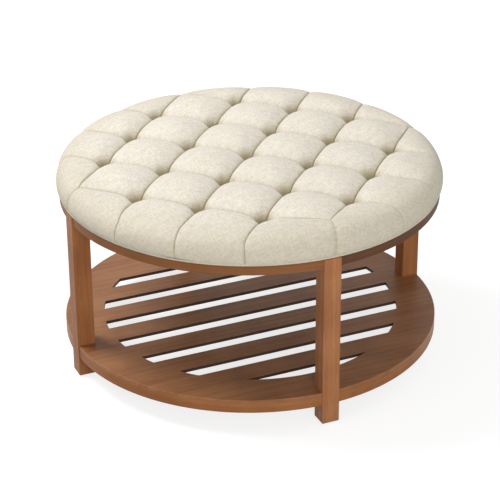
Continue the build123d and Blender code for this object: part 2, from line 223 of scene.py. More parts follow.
@dataclass(frozen=True)
class Finish:
    """A surface finish: its name, its main colour and its gloss, over a fine grain."""

    name: str
    colour: Colour
    roughness: float = 0.6
    _: KW_ONLY
    grain_scale: float = 300.0
    grain_span: Span = (0.3, 0.7)
    dark_share: float = 0.7
    bump_depth: float = 0.3
    bump_strength: float = 0.5

    def material(self) -> bpy.types.Material:
        """Builds the material, once for each finish.

        Returns:
            The finish's one material.
        """
        if self.name in MATERIALS:
            return MATERIALS[self.name]
        material = MATERIALS[self.name] = bpy.data.materials.new(self.name)
        material.use_nodes = True
        shader = Shader(material.node_tree)
        surface = shader.node("ShaderNodeBsdfPrincipled", None, self.constants() | self.pattern(shader))
        shader.node("ShaderNodeOutputMaterial", None, {"Surface": surface.outputs[0]})
        return material

    def constants(self) -> dict:
        """The sockets whose value is the same all over."""
        return {"Roughness": self.roughness}

    def pattern(self, shader: Shader) -> dict:
        """Paints the sockets that change over the surface.

        Args:
            shader: The material under construction.

        Returns:
            What each named socket gets.
        """
        grain = shader.noise(shader.place(), self.grain_scale, detail=3.0)
        darker = dimmed(self.colour, self.dark_share)
        return {
            "Base Color": shader.blend(grain.ramp(*self.grain_span), darker, self.colour),
            "Normal": shader.bump(grain, self.bump_depth, self.bump_strength),
        }


class Grain(Enum):
    """The way that the grain runs in a wooden piece."""

    UPRIGHT = "upright"
    ALONG_X = "along_x"
    ALONG_Y = "along_y"
    ROUND = "round"


@dataclass(frozen=True)
class StainedWood(Finish):
    """Satin stained hardwood with straight grain."""

    grain: Grain = Grain.UPRIGHT
    light: Colour = (0.40, 0.20, 0.10)
    coat: float = 0.03
    _: KW_ONLY
    gloss: float = 0.10
    coat_roughness: float = 0.30
    ring_radius: float = 400.0
    waver_scales: Span = (3.0, 9.0)
    waver_reach: float = 12.0
    band_scales: Span = (1.6, 95.0)
    band_span: Span = (0.28, 0.74)
    band_share: float = 0.62
    band_roughness: float = 0.10
    cloud_scale: float = 11.0
    cloud_span: Span = (0.3, 0.7)
    cloud_share: float = 0.38
    pore_scales: Span = (34.0, 1150.0)
    pore_span: Span = (0.56, 0.78)
    pore_share: float = 0.55
    pore_roughness: float = 0.06
    pore_tint: float = 0.45
    sunk_span: Span = (0.55, 0.8)
    relief_shares: Span = (0.35, 0.65)
    bump_depth: float = 0.18
    bump_strength: float = 0.55

    def constants(self) -> dict:
        """The lacquer's own gloss."""
        return {"Coat Roughness": self.coat_roughness, "Specular IOR Level": self.gloss}

    def along_and_across(self, shader: Shader) -> tuple[Value, Value, Value]:
        """Turns a place to the grain.

        Args:
            shader: The material under construction.

        Returns:
            The distance along the grain and the two across it, in metres.
        """
        x, y, z = shader.axes(shader.place())
        if self.grain is Grain.UPRIGHT:
            return z, x, y
        if self.grain is Grain.ALONG_X:
            return x, y, z
        if self.grain is Grain.ALONG_Y:
            return y, x, z
        return y.angle_from(x) * (self.ring_radius * MM), (x * x + y * y) ** 0.5, z

    def shade_walls(self, shader: Shader, coloured: Socket) -> Socket:
        """The colour with painted shade on any inner walls put in."""
        return coloured

    def pattern(self, shader: Shader) -> dict:
        """Paints growth bands, fine pores and the stain's uneven take-up.

        Args:
            shader: The material under construction.

        Returns:
            What each named socket gets.
        """
        along, across, depth = self.along_and_across(shader)
        long, wide = self.waver_scales
        waver = shader.noise(shader.vector(along * long, across * wide, depth * wide), 1.0)
        waver = waver * (self.waver_reach * MM)
        long, wide = self.band_scales
        banded = shader.vector(along * long, (across + waver) * wide, (depth + waver) * wide)
        bands = shader.noise(banded, 1.0, detail=3.0, rough=0.6)
        long, wide = self.pore_scales
        pores = shader.noise(shader.vector(along * long, across * wide, depth * wide), 1.0, rough=0.6)
        cloud = shader.noise(shader.place(), self.cloud_scale)
        clouded = cloud.ramp(*self.cloud_span) * self.cloud_share
        tone = bands.ramp(*self.band_span) * self.band_share + clouded
        stain = shader.blend(tone, self.colour, self.light)
        dark = dimmed(self.colour, self.pore_tint)
        coloured = shader.blend(pores.ramp(*self.pore_span) * self.pore_share, stain, dark)
        raised, sunk = self.relief_shares
        relief = bands * raised - pores.ramp(*self.sunk_span) * sunk
        return {
            "Base Color": self.shade_walls(shader, coloured),
            "Roughness": self.roughness + bands * self.band_roughness + pores * self.pore_roughness,
            "Coat Weight": self.coat * (0.5 + cloud),
            "Normal": shader.bump(relief, self.bump_depth, self.bump_strength),
        }


@dataclass(frozen=True)
class SlottedBoard(StainedWood):
    """Stained wood with a nearly black painted shade on its slots' inner walls."""

    _: KW_ONLY
    # Painted shade on the slots' inner walls: its colour and share, and the levels and reach where it lies
    wall_shade_colour: Colour = (0.016, 0.005, 0.003)
    wall_shade_share: float = 0.92
    wall_levels: Span = (0.0, 0.0)
    wall_reach: float = 0.0

    def shade_walls(self, shader: Shader, coloured: Socket) -> Socket:
        """Paints shade on the slots' walls, between the board's two faces.

        Args:
            shader: The material under construction.
            coloured: The stained wood's colour.

        Returns:
            The colour of the whole board.
        """
        x, y, z = shader.axes(shader.place())
        low, high = (level * MM for level in self.wall_levels)
        within = (self.wall_reach * MM - (x * x + y * y) ** 0.5).above(0.0)
        inside = z.above(low) * (high - z).above(0.0) * within
        # Painted shade: the slots' inner walls go nearly black
        return shader.blend(inside * self.wall_shade_share, coloured, self.wall_shade_colour)


@dataclass(frozen=True)
class Plywood(Finish):
    """Plywood, whose layers show as stripes on its edge."""

    layer: float = 2.0
    _: KW_ONLY
    layer_span: Span = (-0.3, 0.3)
    layer_share: float = 0.6
    face_scales: Scales = (4.0, 120.0, 20.0)
    face_span: Span = (0.35, 0.7)
    face_share: float = 0.4
    dark_share: float = 0.72
    bump_depth: float = 0.2

    def pattern(self, shader: Shader) -> dict:
        """Paints layers by height, and a face grain along X.

        Args:
            shader: The material under construction.

        Returns:
            What each named socket gets.
        """
        place = shader.axes(shader.place())
        layers = (place[2] * (HALF_TURN / (self.layer * MM))).sine().ramp(*self.layer_span)
        stretched = shader.vector(*(part * scale for part, scale in zip(place, self.face_scales)))
        grain = shader.noise(stretched, 1.0, detail=3.0)
        darker = dimmed(self.colour, self.dark_share)
        tone = layers * self.layer_share + grain.ramp(*self.face_span) * self.face_share
        return {
            "Base Color": shader.blend(tone, darker, self.colour),
            "Normal": shader.bump(grain, self.bump_depth, self.bump_strength),
        }


@dataclass(frozen=True)
class Linen(Finish):
    """Plain-weave oatmeal linen with slubs, its pattern on the cloth's own plane."""

    _: KW_ONLY
    thread: float = 1.05
    weave_share: float = 0.10
    weave_relief: float = 0.45
    weave_roughness: float = 0.08
    slub_scales: Span = (330.0, 60.0)
    slub_span: Span = (0.42, 0.58)
    slub_share: float = 0.40
    slub_relief: float = 0.4
    weft_offset: float = 3.7
    cloud_scale: float = 55.0
    cloud_span: Span = (0.3, 0.7)
    cloud_share: float = 0.10
    shaded_tint: Colour = (0.76, 0.745, 0.70)
    fleck_colour: Colour = (0.42, 0.36, 0.25)
    fleck_scale: float = 340.0
    fleck_span: Span = (0.55, 0.70)
    fleck_share: float = 0.30
    # Painted shade: the colour that pits and the tucks at the pleats' floors are tinted towards
    fold_shade_colour: Colour = (0.46, 0.385, 0.19)
    # Painted shade: the darker, yellower colour that the cushion's side is tinted towards, by distance from
    # the middle
    side_shade_colour: Colour = (0.47, 0.405, 0.225)
    side_shade_span: Span = (0.325, 0.425)
    side_shade_share: float = 0.38
    bump_depth: float = 0.6
    bump_strength: float = 0.55

    def constants(self) -> dict:
        """The soft sheen of a natural fibre."""
        return {"Sheen Weight": 0.18, "Sheen Roughness": 0.5, "Specular IOR Level": 0.2}

    def pattern(self, shader: Shader) -> dict:
        """Paints the weave, its slubs and flecks, and painted shade down the cushion's side and in its folds
        and pits.

        Args:
            shader: The material under construction.

        Returns:
            What each named socket gets.
        """
        u, v, _ = shader.axes(shader.place("UV"))
        turn = HALF_TURN / (self.thread * MM)
        weave = ((u * turn).sine() * (v * turn).sine()).magnitude() ** 0.5
        fine, coarse = self.slub_scales
        warp = shader.noise(shader.vector(u * fine, v * coarse), 1.0, detail=3.0, rough=0.7)
        weft = shader.noise(shader.vector(u * coarse, v * fine, self.weft_offset), 1.0, detail=3.0, rough=0.7)
        fleck = shader.noise(shader.vector(u, v), self.fleck_scale, rough=0.7)
        cloud = shader.noise(shader.vector(u, v), self.cloud_scale, detail=3.0, rough=0.6)
        slubs = warp.ramp(*self.slub_span) * self.slub_share + weft.ramp(*self.slub_span) * self.slub_share
        tone = slubs + weave * self.weave_share + cloud.ramp(*self.cloud_span) * self.cloud_share
        shaded = tuple(part * tint for part, tint in zip(self.colour, self.shaded_tint))
        cloth = shader.blend(tone, shaded, self.colour)
        flecked = shader.blend(fleck.ramp(*self.fleck_span) * self.fleck_share, cloth, self.fleck_colour)
        # Painted shade: the cloth darkens and yellows down the cushion's side, by its distance from the
        # middle of the cloth's plane
        from_middle = (u * u + v * v) ** 0.5
        side_shade = from_middle.ramp(*self.side_shade_span, 0.0, self.side_shade_share)
        drawn = shader.blend(side_shade, flecked, self.side_shade_colour)
        # Painted shade in pits and tucks, by the share that the cushion's layer stores on each point
        fold_shade = Value(shader, shader.node("ShaderNodeAttribute", {"attribute_name": "fold_shade"}).outputs["Fac"])
        relief = weave * self.weave_relief + (warp + weft) * self.slub_relief
        return {
            "Base Color": shader.blend(fold_shade, drawn, self.fold_shade_colour),
            "Roughness": self.roughness + weave * self.weave_roughness,
            "Normal": shader.bump(relief, self.bump_depth, self.bump_strength),
        }


@dataclass(frozen=True)
class PlatedSteel(Finish):
    """Zinc-plated steel with cloudy plating and fine handling marks."""

    _: KW_ONLY
    grain_scale: float = 260.0
    dark_share: float = 0.72
    mark_scale: float = 1500.0
    mark_roughness: float = 0.15
    bump_depth: float = 0.05
    bump_strength: float = 0.4

    def constants(self) -> dict:
        """Bare metal."""
        return {"Metallic": 1.0}

    def pattern(self, shader: Shader) -> dict:
        """Paints the plating and its marks.

        Args:
            shader: The material under construction.

        Returns:
            What each named socket gets.
        """
        cloud = shader.noise(shader.place(), self.grain_scale, detail=3.0)
        marks = shader.noise(shader.place(), self.mark_scale)
        darker = dimmed(self.colour, self.dark_share)
        return {
            "Base Color": shader.blend(cloud.ramp(*self.grain_span), darker, self.colour),
            "Roughness": self.roughness + marks * self.mark_roughness,
            "Normal": shader.bump(marks, self.bump_depth, self.bump_strength),
        }


def stained(name: str, grain: Grain, colour: Colour, light: Colour, roughness: float = 0.36) -> StainedWood:
    """The table's stained wood, with its grain and its two tones."""
    return StainedWood(f"stained_wood_{name}", colour, roughness, grain, light)


def bare(name: str, grain: Grain, colour: Colour, light: Colour, roughness: float = 0.62) -> StainedWood:
    """Bare timber without a coat."""
    return StainedWood(name, colour, roughness, grain, light, 0.0)


STAIN: Colour = (0.230, 0.080, 0.026)
STAIN_LIGHT: Colour = (0.430, 0.180, 0.068)
BLOCK: Colour = (0.50, 0.34, 0.19)
BLOCK_LIGHT: Colour = (0.66, 0.49, 0.30)
LEG_WOOD = stained("upright", Grain.UPRIGHT, STAIN, STAIN_LIGHT)
# Painted light: a lighter copy of the leg wood for the front leg, which gets more light than the side legs
LIT_LEG_WOOD = stained("lit_leg", Grain.UPRIGHT, (0.290, 0.110, 0.042), (0.540, 0.240, 0.105))
RAIL_WOOD = stained("round", Grain.ROUND, STAIN, STAIN_LIGHT)
APRON_WOOD = stained("apron", Grain.ROUND, (0.175, 0.063, 0.022), (0.320, 0.136, 0.053), 0.40)
# Painted shade: a darker copy of the apron wood for the front right rail, which lies in shade
SHADED_APRON_WOOD = stained("shaded_apron", Grain.ROUND, (0.078, 0.032, 0.015), (0.148, 0.070, 0.034), 0.46)
# The slotted board, with painted shade on its slots' inner walls
BOARD_WOOD = SlottedBoard(
    "stained_wood_board",
    (0.222, 0.085, 0.031),
    0.34,
    Grain.ALONG_X,
    (0.420, 0.190, 0.080),
    coat=0.05,
    gloss=0.20,
    wall_levels=(68.2, 74.8),
    wall_reach=322.0,
)
BLOCK_WOOD_X = bare("block_timber_x", Grain.ALONG_X, BLOCK, BLOCK_LIGHT)
BLOCK_WOOD_Y = bare("block_timber_y", Grain.ALONG_Y, BLOCK, BLOCK_LIGHT)
DOWEL_WOOD = bare("beech_dowel", Grain.ROUND, (0.56, 0.38, 0.24), (0.68, 0.50, 0.33), 0.6)
PLYWOOD = Plywood("birch_plywood", (0.62, 0.46, 0.29), 0.7)
LINEN = Linen("oatmeal_linen", (0.925, 0.868, 0.772), 0.88)
FOAM = Finish("seat_foam", (0.80, 0.74, 0.52), 0.95)
FIBRE = Finish("fibre_fill", (0.86, 0.86, 0.84), 0.98)
BLACK_CLOTH = Finish("woven_black_cloth", (0.035, 0.035, 0.037), 0.9)
TWINE = Finish("waxed_twine", (0.62, 0.52, 0.36), 0.85)
STEEL = PlatedSteel("zinc_plate", (0.60, 0.60, 0.58), 0.32)
NYLON = Finish("brown_nylon", (0.045, 0.040, 0.036), 0.45)


# Mesh helpers


def deselect_all() -> None:
    """Leaves nothing selected."""
    for thing in bpy.context.selected_objects:
        thing.select_set(False)


def make_active(thing: Piece) -> None:
    """Selects one object alone and makes it active.

    Args:
        thing: The object.
    """
    deselect_all()
    thing.select_set(True)
    bpy.context.view_layer.objects.active = thing


def apply_modifier(thing: Piece, kind: str, **settings: object) -> None:
    """Adds one modifier to an object and applies it.

    Args:
        thing: The object.
        kind: The modifier's type.
        settings: The modifier's properties.
    """
    modifier = thing.modifiers.new(kind.lower(), kind)
    for name, setting in settings.items():
        setattr(modifier, name, setting)
    make_active(thing)
    bpy.ops.object.modifier_apply(modifier=modifier.name)


def mesh_piece(name: str, points: Array, faces: list) -> Piece:
    """Makes an object from points and faces.

    Args:
        name: The piece's name.
        points: The places of the points, in metres.
        faces: The numbers of each face's points.

    Returns:
        The new object.
    """
    mesh = bpy.data.meshes.new(name)
    mesh.from_pydata(points.tolist(), [], faces)
    mesh.validate()
    piece = bpy.data.objects.new(name, mesh)
    bpy.context.collection.objects.link(piece)
    return piece


def points_of(piece: Piece) -> Array:
    """Reads a mesh's points.

    Args:
        piece: The object.

    Returns:
        One row for each point, in metres.
    """
    flat = np.zeros(len(piece.data.vertices) * 3, dtype=np.float32)
    piece.data.vertices.foreach_get("co", flat)
    return flat.reshape(-1, 3)


def map_cloth(piece: Piece, flat: Array) -> None:
    """Writes the cloth's own plane as the piece's one UV map.

    Args:
        piece: The object.
        flat: Each point's place in the cloth's plane, in metres.
    """
    for layer in list(piece.data.uv_layers):
        piece.data.uv_layers.remove(layer)
    corners = np.zeros(len(piece.data.loops), dtype=np.int32)
    piece.data.loops.foreach_get("vertex_index", corners)
    piece.data.uv_layers.new(name="cloth").data.foreach_set("uv", flat[corners].ravel())


def dress(piece: Piece, finish: Finish) -> None:
    """Gives a new piece its finish and hangs it on the table's one body.

    Args:
        piece: The object.
        finish: What it is finished in.
    """
    piece.data.materials.clear()
    piece.data.materials.append(finish.material())
    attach(piece, "root")


def smooth_step(value: Array, low: float, high: float) -> Array:
    """0 below low, 1 above high and an S between them."""
    part = np.clip((value - low) / (high - low), 0.0, 1.0)
    return part * part * (3.0 - 2.0 * part)


# The cushion


@dataclass
class TuftedLayer:
    """One layer of the tufted cushion, worked on the plane of its cloth before it is pulled over the form.

    p and q run across the pleats, at 45 degrees to the table's X and Y. A band is two distances from the
    radius that it is measured from.
    """

    name: str
    inset: float = 0.0

    # The cloth's grid, closest together at the pleats
    cells: int = 24
    gather: float = 0.75
    grid_reach: int = 4
    outer_line: int = 2

    # The plain form
    crown_level: float = 442.0
    crown_drop: float = 4.0
    crown_radius: float = 362.5
    shoulder_radius: float = 45.0
    widest_level: float = 393.0
    draw_in: float = 4.0
    hem_level: float = 378.4
    hem_width: float = 9.0
    hem_most: float = 12.0
    hem_slope: float = 0.05
    hem_turn_in_share: float = 0.97
    floor_level: float = 0.0

    # Pillows and pleats
    pillow_reach: float = 67.5
    pillow_reach_at_side: float = 30.0
    pillow_fullness: float = 2.1
    pillow_rise: float = 13.0
    swell_power: float = 0.78
    swell_band: Span = (-70.0, 20.0)
    pleat_depth: float = 10.0
    pleat_dip_run: float = 17.0
    pleat_dip_power: float = 1.15
    pleat_fade_places: tuple[float, ...] = (-52.0, 14.0, 2.0, -8.0)
    pleat_fade_shares: tuple[float, ...] = (1.0, 0.48, 0.22, 0.10)
    side_pleat_from_tuft: float = 90.0
    join_power: float = 4.0

    # Pits and the tucks at the pleats' floors
    pit_depth: float = 34.0
    pit_wall_radii: tuple[float, ...] = (8.6, 10.5, 13.5, 18.0, 26.0, 40.0)
    pit_wall_depths: tuple[float, ...] = (34.0, 29.0, 21.5, 13.5, 5.5, 0.0)
    tuck_depth: float = 3.2
    tuck_width: float = 1.1
    hem_band: Span = (-16.0, -6.0)

    # How much painted shade the pits and the tucks at the pleats' floors get
    tuck_shade: float = 0.6
    pit_shade: float = 0.75
    pit_shade_depths: Span = (5.0, 26.0)
    fold_shade_most: float = 0.85

    # The smooth front right of the side, by angle in the cloth's plane
    smooth_start: Span = (-126.0, -112.0)
    smooth_end: Span = (-62.0, -50.0)
    smooth_band: Span = (-28.0, 20.0)
    smooth_share: float = 0.85

    # The meeting of the two front pleats, drawn aside and inwards
    front_fold_shift: Span = (15.6, 24.8)
    front_fold_spread: float = 58.0
    front_fold_radii: Span = (384.0, 432.0)
    front_fold_share: float = 0.5
    front_fold_loss: float = 0.55

    # The side's pleats, held straight down
    held_radius: float = 398.0
    held_sine: float = 0.95
    held_angles: Span = (24.0, 41.0)

    @property
    def pleat_spacing(self) -> float:
        """The distance between two pleats, which join the tufts diagonally."""
        return TUFT_PITCH * DIAGONAL

    @property
    def shoulder_end(self) -> float:
        """The cloth radius at which the shoulder turns into the side."""
        return self.crown_radius + self.shoulder_radius * math.pi / 2.0

    @property
    def cloth_radius(self) -> float:
        """The cloth's radius out to the turned-in hem."""
        return self.shoulder_end + (self.widest_level - self.hem_level) + self.hem_width

    def in_band(self, radius: Array, start: float, band: Span) -> Array:
        """0 short of a band that is measured from a radius, 1 beyond it and an S within."""
        return smooth_step(radius, start + band[0], start + band[1])

    def lines(self) -> Array:
        """Places the grid's lines across one direction.

        Returns:
            The lines' places.
        """
        reach = self.grid_reach * self.cells
        steps = np.arange(-reach, reach + 1) / self.cells
        part = steps - np.floor(steps)
        return (steps - self.gather / (2.0 * math.pi) * np.sin(2.0 * math.pi * part)) * self.pleat_spacing

    def nearest_tuft(self, p: Array, q: Array) -> tuple[Array, Array]:
        """Finds the nearest of the 21 tufts, which leave the lattice's corners free.

        Args:
            p: Places across the first set of pleats.
            q: Places across the second set.

        Returns:
            The tuft's steps in both directions.
        """
        last = self.outer_line
        m = np.clip(np.round(p / self.pleat_spacing), -last, last)
        n = np.clip(np.round(q / self.pleat_spacing), -last, last)
        corner = (np.abs(m) == last) & (np.abs(n) == last)
        shorter = np.abs(p) < np.abs(q)
        m = np.where(corner & shorter, np.sign(m), m)
        n = np.where(corner & ~shorter, np.sign(n), n)
        return m, n

    def fall(self, distance: Array, reach: Array) -> Array:
        """Rounds a pillow off towards its pleat.

        Args:
            distance: The distance from the pleat.
            reach: How far the pleat draws the cloth down.

        Returns:
            How far the pillow has sunk, from 1 at the pleat to 0.
        """
        part = np.clip(distance / reach, 0.0, 1.0)
        full = self.pillow_fullness
        return 1.0 - np.power(1.0 - (1.0 - part) ** full, 1.0 / full)

    def line_depth(self, from_tuft: Array, radius: Array) -> Array:
        """Lets a pleat dip at its tufts and run out down the side.

        Args:
            from_tuft: The distance from the nearest tuft along the pleat.
            radius: The cloth radius.

        Returns:
            The depth of the pleat's floor.
        """
        dip = self.pit_depth - self.pleat_depth
        depth = self.pleat_depth + dip * np.exp(-((from_tuft / self.pleat_dip_run) ** self.pleat_dip_power))
        starts = (self.crown_radius, self.crown_radius, self.shoulder_end, self.cloth_radius)
        places = [start + place for start, place in zip(starts, self.pleat_fade_places)]
        return depth * np.interp(radius, places, self.pleat_fade_shares)

    def pleats(self, p: Array, q: Array, radius: Array) -> tuple[list[Array], Array]:
        """Sinks the two sets of pleats, and the side's own pleats beyond the lattice's free corners.

        Args:
            p: Places across the first set of pleats.
            q: Places across the second set.
            radius: The cloth radius.

        Returns:
            The depth that each set gives, and the tuck from 0 to 1 at the pleats' floors.
        """
        spacing = self.pleat_spacing
        last = self.outer_line
        end = last * spacing
        reach = np.interp(
            radius, [self.crown_radius, self.shoulder_end], [self.pillow_reach, self.pillow_reach_at_side]
        )
        parts = []
        tuck = np.zeros_like(p)
        for across, along in ((p, q), (q, p)):
            line = np.clip(np.round(across / spacing), -last, last)
            outer = np.abs(line) == last
            furthest = np.where(outer, last - 1, last)
            step = np.clip(np.round(along / spacing), -furthest, furthest)
            beyond = np.where(outer, np.maximum(np.abs(along) - end, 0.0), 0.0)
            distance = np.hypot(across - line * spacing, beyond)
            depth = self.line_depth(np.abs(along - step * spacing), radius)
            parts.append(depth * self.fall(distance, reach))
            tuck = np.maximum(tuck, np.exp(-((distance / self.tuck_width) ** 2)))
        out = np.abs(p) - end, np.abs(q) - end
        onward = np.maximum((out[0] + out[1]) / DIAGONAL, 0.0)
        sideways = np.hypot(out[0] - onward / DIAGONAL, out[1] - onward / DIAGONAL)
        far = np.full_like(p, self.side_pleat_from_tuft)
        parts.append(self.line_depth(far, radius) * self.fall(sideways, reach))
        return parts, np.maximum(tuck, np.exp(-((sideways / self.tuck_width) ** 2)))

    def depth(self, p: Array, q: Array) -> tuple[Array, Array]:
        """How deep the cloth lies below the plain form.

        Args:
            p: Places across the first set of pleats.
            q: Places across the second set.

        Returns:
            The depth in millimetres, and the share from 0 to 1 of painted shade in pits and at the pleats'
            tucks.
        """
        spacing = self.pleat_spacing
        radius = np.hypot(p, q)
        parts, tuck = self.pleats(p, q, radius)
        m, n = self.nearest_tuft(p, q)
        from_pit = np.hypot(p - m * spacing, q - n * spacing)
        parts.append(np.interp(from_pit, self.pit_wall_radii, self.pit_wall_depths))
        total = np.power(sum(np.power(part, self.join_power) for part in parts), 1.0 / self.join_power)
        off_hem = 1.0 - self.in_band(radius, self.cloth_radius, self.hem_band)
        total = np.minimum(total + self.tuck_depth * tuck * off_hem, self.pit_depth)
        total = total * (1.0 - self.smooth_share * self.smooth_side(p, q, radius))
        total = total * (1.0 - self.front_fold_share * self.front_fold(p, q))
        # Painted shade: darker with depth in the pits and along the tucks at the pleats' floors
        deep = smooth_step(total, *self.pit_shade_depths) * self.pit_shade
        fold_shade_share = tuck * self.tuck_shade * off_hem + deep
        swell = np.abs(np.sin(np.pi * p / spacing) * np.sin(np.pi * q / spacing)) ** self.swell_power
        swell = swell * (1.0 - self.in_band(radius, self.crown_radius, self.swell_band))
        return total - self.pillow_rise * swell, np.clip(fold_shade_share, 0.0, self.fold_shade_most)

    def smooth_side(self, p: Array, q: Array, radius: Array) -> Array:
        """Finds where the pleats lie turned under and leave the side smooth, at the front right.

        Args:
            p: Places across the first set of pleats.
            q: Places across the second set.
            radius: The cloth radius.

        Returns:
            How smooth the side is, from 0 to 1.
        """
        angle = np.degrees(np.arctan2(q, p))
        window = smooth_step(angle, *self.smooth_start) * (1.0 - smooth_step(angle, *self.smooth_end))
        return window * self.in_band(radius, self.crown_radius, self.smooth_band)

    def shifted(self, p: Array, q: Array) -> tuple[Array, Array]:
        """Draws the cloth inwards and to the right where the two front pleats meet on the shoulder.

        Args:
            p: Places across the first set of pleats.
            q: Places across the second set.

        Returns:
            The places that the cloth is drawn to.
        """
        near = self.front_fold(p, q)
        fade = smooth_step(np.hypot(p, q), *self.front_fold_radii)
        aside = near * (1.0 - self.front_fold_loss * fade) * self.front_fold_shift[0] / DIAGONAL
        inward = near * (1.0 - fade) * self.front_fold_shift[1] / DIAGONAL
        return p + inward + aside, q + inward - aside

    def front_fold(self, p: Array, q: Array) -> Array:
        """How near a place is to the meeting of the two front pleats, from 0 to 1."""
        place = -self.outer_line * self.pleat_spacing
        return np.exp(-((p - place) ** 2 + (q - place) ** 2) / (2.0 * self.front_fold_spread**2))

    def turned_angle(self, p: Array, q: Array) -> Array:
        """Turns the side's pleats straight down.

        Args:
            p: Places across the first set of pleats.
            q: Places across the second set.

        Returns:
            The angle round the cushion, from the table's X.
        """
        radius = np.maximum(np.hypot(p, q), 1e-9)
        angle = np.arctan2(q, p)
        quarter = np.round(angle / QUARTER_TURN) * QUARTER_TURN
        own = angle - quarter
        sine = np.clip(np.sin(own) * radius / self.held_radius, -self.held_sine, self.held_sine)
        free = smooth_step(np.abs(own), *(math.radians(limit) for limit in self.held_angles))
        own = np.where(radius > self.held_radius, own + (np.arcsin(sine) - own) * (1.0 - free), own)
        return own + quarter + math.pi / 4.0

    def profile(self, radius: Array) -> tuple[Array, Array, Array, Array]:
        """Lays the cloth over the plain form.

        Args:
            radius: The cloth radius.

        Returns:
            The form's radius and level, and the outward and upward parts of its normal.
        """
        side = self.widest_level - self.hem_level
        turn = np.clip((radius - self.crown_radius) / self.shoulder_radius, 0.0, QUARTER_TURN)
        down = np.clip(radius - self.shoulder_end, 0.0, side)
        under = np.clip(radius - self.shoulder_end - side, 0.0, self.hem_most)
        crown = self.crown_drop * (1.0 - np.minimum(radius / self.crown_radius, 1.0) ** 2)
        out = np.minimum(radius, self.crown_radius) + self.shoulder_radius * np.sin(turn)
        out = out - self.draw_in * (down / side) ** 2 - under
        top = self.crown_level - self.crown_drop - self.widest_level
        level = self.widest_level + top * np.cos(turn) + crown - down + self.hem_slope * under
        return out, level, np.sin(turn), np.cos(turn)

    def grid(self) -> tuple[Array, Array, Array]:
        """Cuts the cloth's square grid to a round.

        Returns:
            Each point's p and q, and the numbers of each face's points.
        """
        lines = self.lines()
        count = len(lines)
        p, q = np.meshgrid(lines, lines, indexing="ij")
        middle = np.hypot((p[:-1, :-1] + p[1:, 1:]) / 2.0, (q[:-1, :-1] + q[1:, 1:]) / 2.0)
        row, column = np.nonzero(middle < self.cloth_radius)
        first = row * count + column
        faces = np.stack([first, first + count, first + count + 1, first + 1], axis=1)
        used, flat = np.unique(faces, return_inverse=True)
        p, q, faces = p.ravel()[used], q.ravel()[used], flat.reshape(-1, 4)
        rim = self.rim(faces)
        scale = self.cloth_radius / np.hypot(p[rim], q[rim])
        p[rim] *= scale
        q[rim] *= scale
        return p, q, faces

    def rim(self, faces: Array) -> Array:
        """Finds the points on the cloth's edge.

        Args:
            faces: The numbers of each face's points.

        Returns:
            The edge's points in order.
        """
        ends = np.stack([faces, np.roll(faces, -1, axis=1)], axis=-1).reshape(-1, 2)
        edges = {(first, second) for first, second in ends.tolist()}
        return np.array(sorted({first for first, second in edges if (second, first) not in edges}))

    def surface(self) -> Piece:
        """Builds the layer's cloth, with its own plane as UV map.

        Returns:
            The open cloth.
        """
        p, q, faces = self.grid()
        moved = self.shifted(p, q)
        angle = self.turned_angle(*moved)
        out, level, lean, rise = self.profile(np.hypot(*moved))
        sunk, fold_shade_share = self.depth(p, q)
        sunk = sunk + self.inset
        out = out - sunk * lean
        level = np.maximum(level - sunk * rise, self.floor_level)
        points = np.stack([out * np.cos(angle), out * np.sin(angle), level], axis=1) * MM
        piece = mesh_piece(self.name, points, faces.tolist())
        # Stores the painted-shade share of the pits and tucks for the linen, which the press also holds the
        # cloth by
        piece.data.attributes.new("fold_shade", "FLOAT", "POINT").data.foreach_set("value", fold_shade_share)
        map_cloth(piece, np.stack([(p - q) / DIAGONAL * MM, (p + q) / DIAGONAL * MM], axis=1))
        return piece

    def close(self, piece: Piece) -> None:
        """Turns the hem in under the layer and closes the form flat across it.

        Args:
            piece: The open cloth.
        """
        make_active(piece)
        bpy.ops.object.mode_set(mode="EDIT")
        bpy.ops.mesh.select_mode(type="EDGE")
        bpy.ops.mesh.select_all(action="DESELECT")
        bpy.ops.mesh.select_non_manifold(
            use_wire=False, use_multi_face=False, use_non_contiguous=False, use_verts=False
        )
        bpy.ops.mesh.extrude_edges_move()
        share = self.hem_turn_in_share
        bpy.ops.transform.resize(value=(share, share, 1.0), center_override=(0.0, 0.0, 0.0))
        bpy.ops.mesh.edge_face_add()
        bpy.ops.mesh.select_all(action="DESELECT")
        bpy.ops.object.mode_set(mode="OBJECT")


